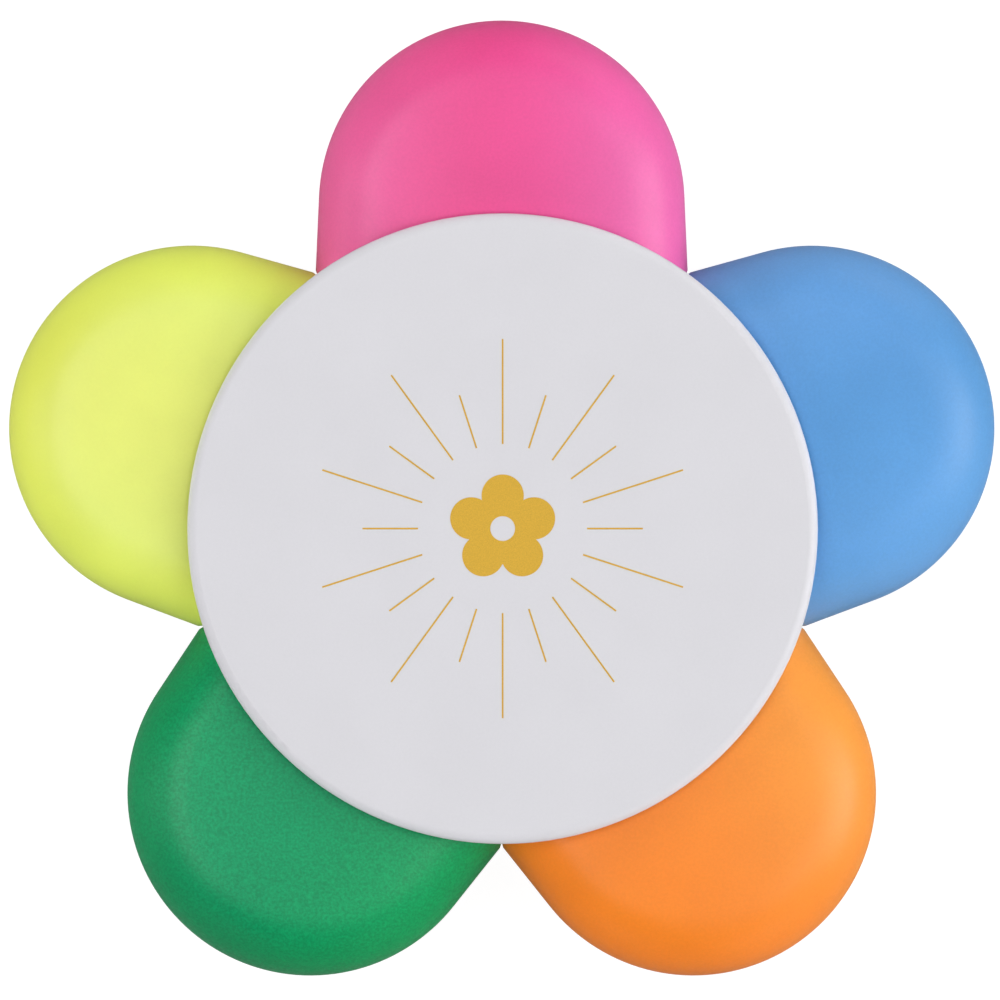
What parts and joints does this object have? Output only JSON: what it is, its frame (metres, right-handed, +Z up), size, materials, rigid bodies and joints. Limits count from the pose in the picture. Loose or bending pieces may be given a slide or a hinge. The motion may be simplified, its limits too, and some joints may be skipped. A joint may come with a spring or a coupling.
{
  "type": "multi-colour highlighter",
  "caption": "Flower-shaped highlighter: round white hub with spoke-like felt-tip markers under petal caps in fluorescent colours, each pulling off outwards.",
  "frame": {"origin": "centre of the hub's flat resting face, on the hub's axis", "axes": "+Z up along the hub's axis, from the resting face to the printed face; +Y out along the pink cap; +X to the right seen from above, between the blue and the orange cap"},
  "size_m": [0.0958, 0.0929, 0.02],
  "materials": {
    "hub_plastic": "satin moulded, cool white",
    "barrel_plastic": "satin moulded, white",
    "liner_plastic": "natural, slightly milky",
    "plug_plastic": "satin moulded, pale grey",
    "gold_print": "flat gold ink, pad printed",
    "pink_cap_plastic": "satin moulded, fluorescent",
    "pink_inked_felt": "ink-soaked fibre",
    "blue_cap_plastic": "satin moulded, fluorescent",
    "blue_inked_felt": "ink-soaked fibre",
    "orange_cap_plastic": "satin moulded, fluorescent",
    "orange_inked_felt": "ink-soaked fibre",
    "green_cap_plastic": "satin moulded, fluorescent",
    "green_inked_felt": "ink-soaked fibre",
    "yellow_cap_plastic": "satin moulded, fluorescent",
    "yellow_inked_felt": "ink-soaked fibre"
  },
  "bodies": {
    "hub": {"hub_top_shell": "hub_plastic", "hub_bottom_shell": "hub_plastic", "pink_barrel": "barrel_plastic", "pink_nib": "pink_inked_felt", "pink_reservoir": "pink_inked_felt", "pink_end_plug": "plug_plastic", "blue_barrel": "barrel_plastic", "blue_nib": "blue_inked_felt", "blue_reservoir": "blue_inked_felt", "blue_end_plug": "plug_plastic", "orange_barrel": "barrel_plastic", "orange_nib": "orange_inked_felt", "orange_reservoir": "orange_inked_felt", "orange_end_plug": "plug_plastic", "green_barrel": "barrel_plastic", "green_nib": "green_inked_felt", "green_reservoir": "green_inked_felt", "green_end_plug": "plug_plastic", "yellow_barrel": "barrel_plastic", "yellow_nib": "yellow_inked_felt", "yellow_reservoir": "yellow_inked_felt", "yellow_end_plug": "plug_plastic"},
    "pink_cap": {"pink_cap": "pink_cap_plastic", "pink_cap_liner": "liner_plastic"},
    "blue_cap": {"blue_cap": "blue_cap_plastic", "blue_cap_liner": "liner_plastic"},
    "orange_cap": {"orange_cap": "orange_cap_plastic", "orange_cap_liner": "liner_plastic"},
    "green_cap": {"green_cap": "green_cap_plastic", "green_cap_liner": "liner_plastic"},
    "yellow_cap": {"yellow_cap": "yellow_cap_plastic", "yellow_cap_liner": "liner_plastic"}
  },
  "joints": [
    {"name": "pink_cap_slide", "type": "slide", "parent": "hub", "child": "pink_cap", "axis": [0, 1, 0], "range_m": [0, 0.022]},
    {"name": "blue_cap_slide", "type": "slide", "parent": "hub", "child": "blue_cap", "axis": [0.9511, 0.309, 0], "range_m": [0, 0.022]},
    {"name": "orange_cap_slide", "type": "slide", "parent": "hub", "child": "orange_cap", "axis": [0.5878, -0.809, 0], "range_m": [0, 0.022]},
    {"name": "green_cap_slide", "type": "slide", "parent": "hub", "child": "green_cap", "axis": [-0.5878, -0.809, 0], "range_m": [0, 0.022]},
    {"name": "yellow_cap_slide", "type": "slide", "parent": "hub", "child": "yellow_cap", "axis": [-0.9511, 0.309, 0], "range_m": [0, 0.022]}
  ]
}
